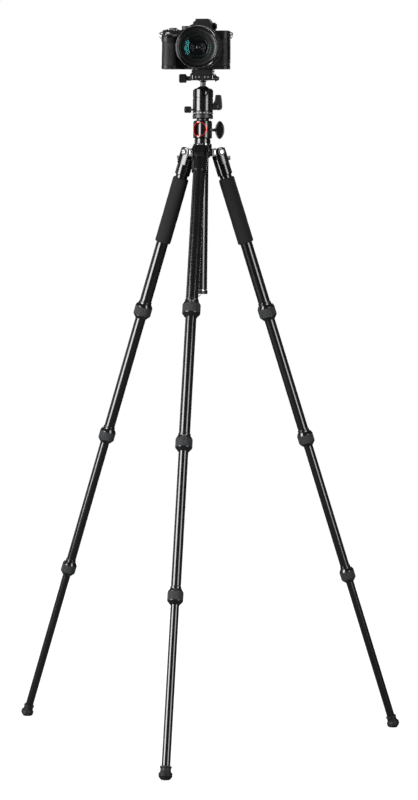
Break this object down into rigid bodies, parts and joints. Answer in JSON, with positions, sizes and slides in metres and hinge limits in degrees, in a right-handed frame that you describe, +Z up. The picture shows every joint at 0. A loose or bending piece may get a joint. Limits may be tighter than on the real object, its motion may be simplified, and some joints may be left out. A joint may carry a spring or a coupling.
{
  "type": "camera on tripod",
  "caption": "Black mirrorless digital camera with a zoom lens, clamped on the ball head of a slim travel tripod that stands with its legs drawn out.",
  "frame": {"origin": "on the floor, under the middle of the bounding box of the standing tripod", "axes": "+Z up; -Y is the way the lens and the front leg point; +X is on the right of someone who faces the lens"},
  "size_m": [0.788, 0.6862, 1.419],
  "materials": {
    "anodised_gloss": "glossy black anodised",
    "anodised_satin": "satin black anodised",
    "bright_metal": "polished",
    "ribbed_rubber": "matt, ribbed",
    "foam": "matt closed-cell foam",
    "foot_rubber": "matt",
    "camera_plastic": "fine-grained black",
    "lens_black": "satin black",
    "screen_black": "gloss",
    "front_glass": "coated"
  },
  "bodies": {
    "spider": {"spider": "anodised_satin", "pivot_bolt_front": "bright_metal", "pivot_bolt_right": "bright_metal", "pivot_bolt_left": "bright_metal"},
    "leg_front": {"leg_yoke_front": "anodised_satin", "leg_tube_1_front": "anodised_gloss"},
    "leg_front_section_2": {"leg_tube_2_front": "anodised_gloss"},
    "leg_front_section_3": {"leg_tube_3_front": "anodised_gloss"},
    "leg_front_section_4": {"leg_tube_4_front": "anodised_gloss", "foot_front": "foot_rubber"},
    "leg_front_twist_lock_1": {"twist_lock_1_front": "ribbed_rubber"},
    "leg_front_twist_lock_2": {"twist_lock_2_front": "ribbed_rubber"},
    "leg_front_twist_lock_3": {"twist_lock_3_front": "ribbed_rubber"},
    "leg_front_angle_lock": {"angle_lock_front": "anodised_satin"},
    "leg_right": {"leg_yoke_right": "anodised_satin", "leg_tube_1_right": "anodised_gloss", "foam_grip_right": "foam"},
    "leg_right_section_2": {"leg_tube_2_right": "anodised_gloss"},
    "leg_right_section_3": {"leg_tube_3_right": "anodised_gloss"},
    "leg_right_section_4": {"leg_tube_4_right": "anodised_gloss", "foot_right": "foot_rubber"},
    "leg_right_twist_lock_1": {"twist_lock_1_right": "ribbed_rubber"},
    "leg_right_twist_lock_2": {"twist_lock_2_right": "ribbed_rubber"},
    "leg_right_twist_lock_3": {"twist_lock_3_right": "ribbed_rubber"},
    "leg_right_angle_lock": {"angle_lock_right": "anodised_satin"},
    "leg_left": {"leg_yoke_left": "anodised_satin", "leg_tube_1_left": "anodised_gloss", "foam_grip_left": "foam"},
    "leg_left_section_2": {"leg_tube_2_left": "anodised_gloss"},
    "leg_left_section_3": {"leg_tube_3_left": "anodised_gloss"},
    "leg_left_section_4": {"leg_tube_4_left": "anodised_gloss", "foot_left": "foot_rubber"},
    "leg_left_twist_lock_1": {"twist_lock_1_left": "ribbed_rubber"},
    "leg_left_twist_lock_2": {"twist_lock_2_left": "ribbed_rubber"},
    "leg_left_twist_lock_3": {"twist_lock_3_left": "ribbed_rubber"},
    "leg_left_angle_lock": {"angle_lock_left": "anodised_satin"},
    "column_lock_ring": {"column_lock_ring": "anodised_satin"},
    "column": {"column": "anodised_gloss", "column_cap": "anodised_satin", "pivot_head": "anodised_gloss", "pan_base": "anodised_satin"},
    "wing_knob": {"wing_knob": "anodised_satin"},
    "ball_housing": {"ball_housing": "anodised_gloss"},
    "main_lever": {"main_lever": "anodised_satin"},
    "pan_lock_knob": {"pan_lock_knob": "anodised_satin"},
    "ball": {"ball_and_stem": "anodised_gloss"},
    "clamp": {"clamp_body": "anodised_satin"},
    "clamp_jaw": {"clamp_jaw": "anodised_satin"},
    "clamp_knob": {"clamp_knob": "anodised_satin"},
    "clamp_lock_knob": {"clamp_lock_knob": "anodised_satin"},
    "camera": {"quick_plate": "anodised_satin", "camera_body": "camera_plastic", "lens_barrel": "lens_black"},
    "zoom_ring": {"zoom_ring": "ribbed_rubber"},
    "front_barrel": {"lens_front_barrel": "lens_black", "front_element": "front_glass"},
    "focus_ring": {"focus_ring": "ribbed_rubber"},
    "shutter_button": {"shutter_button": "camera_plastic"},
    "mode_dial": {"mode_dial": "anodised_satin"},
    "rear_screen": {"rear_screen": "screen_black"}
  },
  "joints": [
    {"name": "column_slide", "type": "slide", "parent": "spider", "child": "column", "axis": [0, 0, 1], "range_m": [0, 0.255]},
    {"name": "column_lock_ring_turn", "type": "hinge", "parent": "spider", "child": "column_lock_ring", "pos_m": [0, 0.11005, 1.17124], "axis": [0, 0, 1], "range_deg": [0, 90]},
    {"name": "wing_knob_turn", "type": "hinge", "parent": "column", "child": "wing_knob", "pos_m": [0.03, 0.11005, 1.20134], "axis": [1, 0, 0], "range_deg": [0, 180]},
    {"name": "head_pan", "type": "hinge", "parent": "column", "child": "ball_housing", "pos_m": [0, 0.11005, 1.23704], "axis": [0, 0, 1], "continuous": true},
    {"name": "main_lever_turn", "type": "hinge", "parent": "ball_housing", "child": "main_lever", "pos_m": [0.02499, 0.11066, 1.24704], "axis": [0.9997, 0.0244, 0], "range_deg": [0, 90]},
    {"name": "pan_lock_knob_turn", "type": "hinge", "parent": "ball_housing", "child": "pan_lock_knob", "pos_m": [-0.02499, 0.10944, 1.24124], "axis": [-0.9997, -0.0244, 0], "range_deg": [0, 180]},
    {"name": "ball_tilt", "type": "hinge", "parent": "ball_housing", "child": "ball", "pos_m": [0, 0.11005, 1.27254], "axis": [0.9593, 0.2823, 0], "range_deg": [-40, 70]},
    {"name": "clamp_pan", "type": "hinge", "parent": "ball", "child": "clamp", "pos_m": [0.00006, 0.10738, 1.2979], "axis": [0.0026, -0.1045, 0.9945], "continuous": true},
    {"name": "clamp_jaw_slide", "type": "slide", "parent": "clamp", "child": "clamp_jaw", "axis": [-0.9997, -0.0244, 0], "range_m": [0, 0.003]},
    {"name": "clamp_knob_turn", "type": "hinge", "parent": "clamp_jaw", "child": "clamp_knob", "pos_m": [-0.02992, 0.10622, 1.30198], "axis": [-0.9997, -0.0244, 0], "range_deg": [0, 360]},
    {"name": "clamp_lock_knob_turn", "type": "hinge", "parent": "clamp", "child": "clamp_lock_knob", "pos_m": [0.02507, 0.10756, 1.30198], "axis": [0.9997, 0.0244, 0], "range_deg": [0, 180]},
    {"name": "plate_slide", "type": "slide", "parent": "clamp", "child": "camera", "axis": [-0.0243, 0.9942, 0.1045], "range_m": [-0.015, 0.015]},
    {"name": "zoom_ring_turn", "type": "hinge", "parent": "camera", "child": "zoom_ring", "pos_m": [0.002, 0.02827, 1.35243], "axis": [0.0243, -0.9942, -0.1045], "range_deg": [0, 60]},
    {"name": "zoom_extension", "type": "slide", "parent": "camera", "child": "front_barrel", "axis": [0.0243, -0.9942, -0.1045], "range_m": [0, 0.032]},
    {"name": "focus_ring_turn", "type": "hinge", "parent": "front_barrel", "child": "focus_ring", "pos_m": [0.00278, -0.00354, 1.34908], "axis": [0.0243, -0.9942, -0.1045], "range_deg": [-90, 90]},
    {"name": "shutter_press", "type": "slide", "parent": "camera", "child": "shutter_button", "axis": [-0.0078, 0.3202, -0.9473], "range_m": [0, 0.0015], "stiffness_N_per_m": 400},
    {"name": "mode_dial_turn", "type": "hinge", "parent": "camera", "child": "mode_dial", "pos_m": [-0.03327, 0.10029, 1.39588], "axis": [0.0026, -0.1045, 0.9945], "continuous": true},
    {"name": "rear_screen_tilt", "type": "hinge", "parent": "camera", "child": "rear_screen", "pos_m": [0.00161, 0.12593, 1.38783], "axis": [0.9997, 0.0244, 0], "range_deg": [0, 90]},
    {"name": "leg_front_spread", "type": "hinge", "parent": "spider", "child": "leg_front", "pos_m": [0, 0.07585, 1.15884], "axis": [1, 0, 0], "range_deg": [0, 19]},
    {"name": "leg_right_spread", "type": "hinge", "parent": "spider", "child": "leg_right", "pos_m": [0.02962, 0.12715, 1.15884], "axis": [-0.5, 0.866, 0], "range_deg": [0, 19]},
    {"name": "leg_left_spread", "type": "hinge", "parent": "spider", "child": "leg_left", "pos_m": [-0.02962, 0.12715, 1.15884], "axis": [-0.5, -0.866, 0], "range_deg": [0, 19]},
    {"name": "leg_front_section_2_slide", "type": "slide", "parent": "leg_front", "child": "leg_front_section_2", "axis": [0, 0.3328, 0.943], "range_m": [0, 0.232]},
    {"name": "leg_front_section_3_slide", "type": "slide", "parent": "leg_front_section_2", "child": "leg_front_section_3", "axis": [0, 0.3328, 0.943], "range_m": [0, 0.259]},
    {"name": "leg_front_section_4_slide", "type": "slide", "parent": "leg_front_section_3", "child": "leg_front_section_4", "axis": [0, 0.3328, 0.943], "range_m": [0, 0.29]},
    {"name": "leg_front_twist_lock_1_turn", "type": "hinge", "parent": "leg_front", "child": "leg_front_twist_lock_1", "pos_m": [0, -0.03458, 0.84596], "axis": [0, 0.3328, 0.943], "range_deg": [0, 120]},
    {"name": "leg_front_twist_lock_2_turn", "type": "hinge", "parent": "leg_front_section_2", "child": "leg_front_twist_lock_2", "pos_m": [0, -0.12375, 0.59333], "axis": [0, 0.3328, 0.943], "range_deg": [0, 120]},
    {"name": "leg_front_twist_lock_3_turn", "type": "hinge", "parent": "leg_front_section_3", "child": "leg_front_twist_lock_3", "pos_m": [0, -0.22153, 0.31628], "axis": [0, 0.3328, 0.943], "range_deg": [0, 120]},
    {"name": "leg_front_angle_lock_pull", "type": "slide", "parent": "leg_front", "child": "leg_front_angle_lock", "axis": [0, -0.943, 0.3328], "range_m": [0, 0.005], "stiffness_N_per_m": 300},
    {"name": "leg_right_section_2_slide", "type": "slide", "parent": "leg_right", "child": "leg_right_section_2", "axis": [-0.2882, -0.1664, 0.943], "range_m": [0, 0.232]},
    {"name": "leg_right_section_3_slide", "type": "slide", "parent": "leg_right_section_2", "child": "leg_right_section_3", "axis": [-0.2882, -0.1664, 0.943], "range_m": [0, 0.259]},
    {"name": "leg_right_section_4_slide", "type": "slide", "parent": "leg_right_section_3", "child": "leg_right_section_4", "axis": [-0.2882, -0.1664, 0.943], "range_m": [0, 0.29]},
    {"name": "leg_right_twist_lock_1_turn", "type": "hinge", "parent": "leg_right", "child": "leg_right_twist_lock_1", "pos_m": [0.12525, 0.18236, 0.84596], "axis": [-0.2882, -0.1664, 0.943], "range_deg": [0, 120]},
    {"name": "leg_right_twist_lock_2_turn", "type": "hinge", "parent": "leg_right_section_2", "child": "leg_right_twist_lock_2", "pos_m": [0.20247, 0.22694, 0.59333], "axis": [-0.2882, -0.1664, 0.943], "range_deg": [0, 120]},
    {"name": "leg_right_twist_lock_3_turn", "type": "hinge", "parent": "leg_right_section_3", "child": "leg_right_twist_lock_3", "pos_m": [0.28715, 0.27583, 0.31628], "axis": [-0.2882, -0.1664, 0.943], "range_deg": [0, 120]},
    {"name": "leg_right_angle_lock_pull", "type": "slide", "parent": "leg_right", "child": "leg_right_angle_lock", "axis": [0.8167, 0.4715, 0.3328], "range_m": [0, 0.005], "stiffness_N_per_m": 300},
    {"name": "leg_left_section_2_slide", "type": "slide", "parent": "leg_left", "child": "leg_left_section_2", "axis": [0.2882, -0.1664, 0.943], "range_m": [0, 0.232]},
    {"name": "leg_left_section_3_slide", "type": "slide", "parent": "leg_left_section_2", "child": "leg_left_section_3", "axis": [0.2882, -0.1664, 0.943], "range_m": [0, 0.259]},
    {"name": "leg_left_section_4_slide", "type": "slide", "parent": "leg_left_section_3", "child": "leg_left_section_4", "axis": [0.2882, -0.1664, 0.943], "range_m": [0, 0.29]},
    {"name": "leg_left_twist_lock_1_turn", "type": "hinge", "parent": "leg_left", "child": "leg_left_twist_lock_1", "pos_m": [-0.12525, 0.18236, 0.84596], "axis": [0.2882, -0.1664, 0.943], "range_deg": [0, 120]},
    {"name": "leg_left_twist_lock_2_turn", "type": "hinge", "parent": "leg_left_section_2", "child": "leg_left_twist_lock_2", "pos_m": [-0.20247, 0.22694, 0.59333], "axis": [0.2882, -0.1664, 0.943], "range_deg": [0, 120]},
    {"name": "leg_left_twist_lock_3_turn", "type": "hinge", "parent": "leg_left_section_3", "child": "leg_left_twist_lock_3", "pos_m": [-0.28715, 0.27583, 0.31628], "axis": [0.2882, -0.1664, 0.943], "range_deg": [0, 120]},
    {"name": "leg_left_angle_lock_pull", "type": "slide", "parent": "leg_left", "child": "leg_left_angle_lock", "axis": [-0.8167, 0.4715, 0.3328], "range_m": [0, 0.005], "stiffness_N_per_m": 300}
  ],
  "couplings": [
    {"joint": "clamp_knob_turn", "follows": "clamp_jaw_slide", "rad_per_m": 2094},
    {"joint": "zoom_extension", "follows": "zoom_ring_turn", "m_per_rad": 0.030557}
  ]
}
